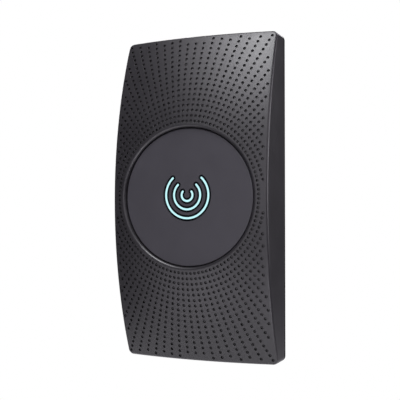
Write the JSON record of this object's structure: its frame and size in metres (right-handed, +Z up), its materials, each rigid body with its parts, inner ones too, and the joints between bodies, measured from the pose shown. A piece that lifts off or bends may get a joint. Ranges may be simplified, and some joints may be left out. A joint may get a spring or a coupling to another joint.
{
  "type": "rfid card reader",
  "caption": "Slim wall-mount proximity card reader: domed dark front, sunk round reading disc with lit C-shaped strips, hinged on a wall plate.",
  "frame": {"origin": "centre of the back face that lies on the wall, at mid width and mid height", "axes": "+X to the right seen from the front, +Y into the wall, +Z up; the domed front faces -Y"},
  "size_m": [0.058, 0.02, 0.115],
  "materials": {
    "cover_plastic": "fine moulded texture",
    "disc_plastic": "even satin",
    "guide_plastic": "clear, lit pale cyan",
    "film_plastic": "milky film",
    "white_plastic": "satin white",
    "former_plastic": "satin",
    "copper": "enamelled winding",
    "board": "solder mask",
    "led_body": "moulded body with clear lens",
    "chip_black": "moulded epoxy",
    "tin": "tin plated",
    "can_metal": "drawn can",
    "ceramic_grey": "fired ceramic",
    "header_plastic": "natural nylon",
    "steel": "zinc plated",
    "spring_steel": "drawn wire",
    "brass": "turned and knurled",
    "rubber": "matte",
    "foam": "closed-cell foam",
    "plate_plastic": "moulded texture",
    "plunger_plastic": "natural acetal"
  },
  "bodies": {
    "root": {"wall_plate": "plate_plastic", "wall_gasket": "foam", "lock_insert": "brass"},
    "reader": {"front_cover": "cover_plastic", "reading_disc": "disc_plastic", "light_guide": "guide_plastic", "diffuser_film": "film_plastic", "light_shield": "white_plastic", "antenna_former": "former_plastic", "antenna_coil": "copper", "main_board": "board", "indicator_leds": "led_body", "controller_chip": "chip_black", "radio_chip": "chip_black", "chip_leads": "tin", "crystal": "can_metal", "filter_capacitors": "can_metal", "voltage_regulator": "chip_black", "chip_passives": "ceramic_grey", "buzzer": "chip_black", "wire_header": "header_plastic", "header_pins": "tin", "board_screws": "steel", "cover_screws": "steel", "back_cover": "plate_plastic", "cover_seal": "rubber", "cable_grommet": "rubber", "tamper_switch": "chip_black", "tamper_spring": "spring_steel"},
    "plunger": {"tamper_plunger": "plunger_plastic"},
    "jack_screw": {"lock_screw": "steel"}
  },
  "joints": [
    {"name": "reader_swing", "type": "hinge", "parent": "root", "child": "reader", "pos_m": [0, -0.003, 0.055], "axis": [-1, 0, 0], "range_deg": [0, 15]},
    {"name": "tamper_travel", "type": "slide", "parent": "reader", "child": "plunger", "axis": [0, 1, 0], "range_m": [0, 0.0025], "deforming": ["tamper_spring"]},
    {"name": "lock_travel", "type": "slide", "parent": "root", "child": "jack_screw", "axis": [0, 0, -1], "range_m": [0, 0.0025]}
  ],
  "couplings": [
    {"joint": "tamper_travel", "follows": "reader_swing", "m_per_rad": 0.0095}
  ]
}
